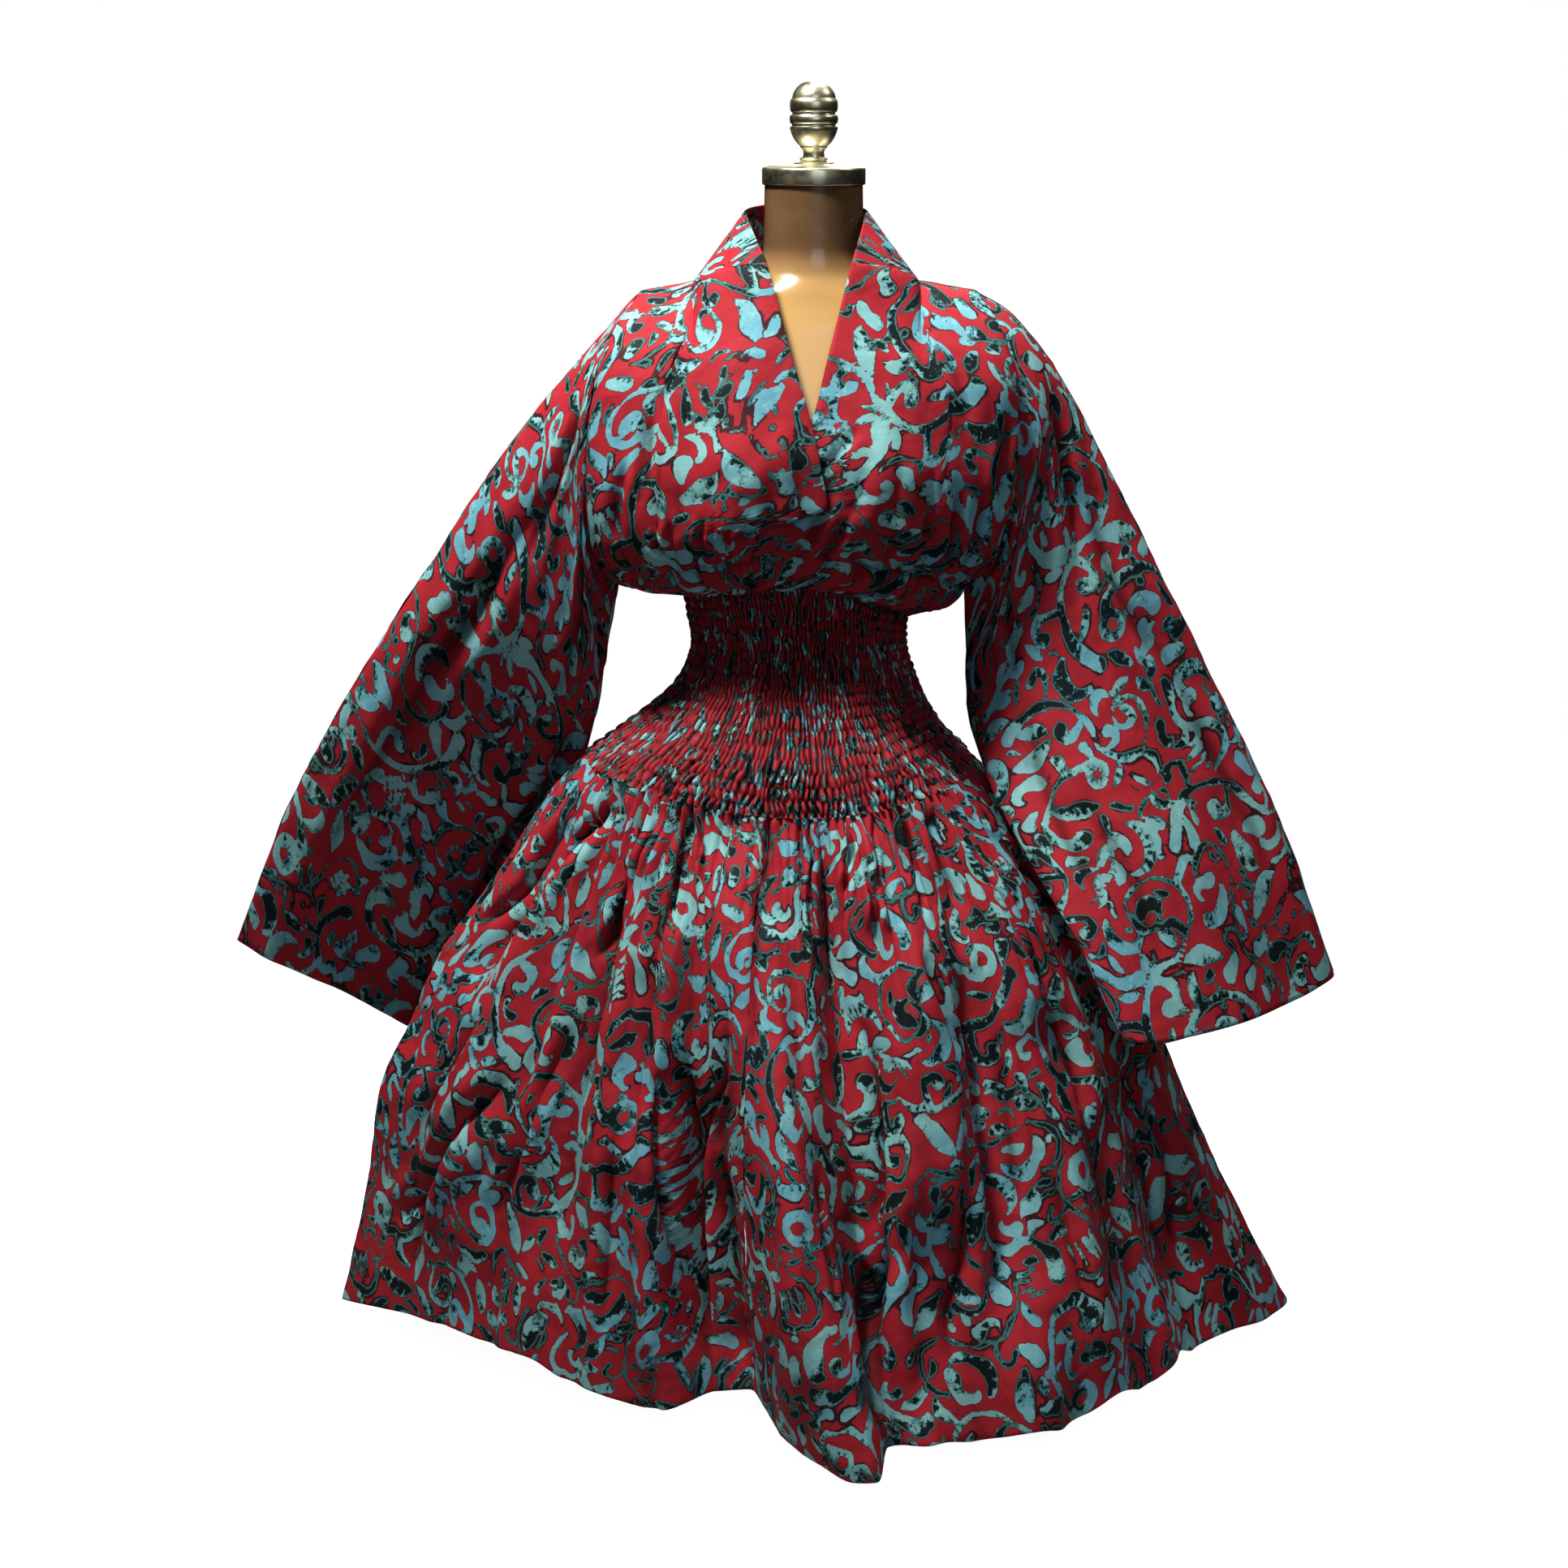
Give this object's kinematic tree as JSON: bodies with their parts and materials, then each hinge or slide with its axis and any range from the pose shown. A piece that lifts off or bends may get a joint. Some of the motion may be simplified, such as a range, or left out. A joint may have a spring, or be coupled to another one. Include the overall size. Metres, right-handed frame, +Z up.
{
  "type": "kimono-sleeved dress on a dress form",
  "caption": "Knee-length wrap dress with wide kimono sleeves, a smocked waist and a full gathered skirt, worn by a limbless countertop dress form with a brass cap and finial.",
  "frame": {"origin": "centre of the underside of the form's base plate, on the floor", "axes": "+Z up, the front of the dress faces -Y, +X to the viewer's right when looking at the front"},
  "size_m": [1.2781, 0.9391, 1.4558],
  "materials": {
    "printed_cotton": "crisp wax-printed cotton, crimson ground with turquoise and black motifs",
    "form_shell": "glossy tan lacquered shell",
    "brass": "polished pale brass",
    "dark_steel": "satin black paint on steel"
  },
  "bodies": {
    "root": {"skirt_front_left": "printed_cotton", "skirt_front_right": "printed_cotton", "skirt_back_left": "printed_cotton", "skirt_back_right": "printed_cotton", "waist_smocked_front": "printed_cotton", "waist_smocked_back": "printed_cotton", "bodice_front_over": "printed_cotton", "bodice_front_under": "printed_cotton", "bodice_back": "printed_cotton", "collar": "printed_cotton", "sleeve_left_front": "printed_cotton", "sleeve_left_back": "printed_cotton", "sleeve_right_front": "printed_cotton", "sleeve_right_back": "printed_cotton", "form_torso": "form_shell", "neck_cap": "brass", "finial": "brass", "pole": "dark_steel", "base_plate": "dark_steel"}
  },
  "joints": []
}
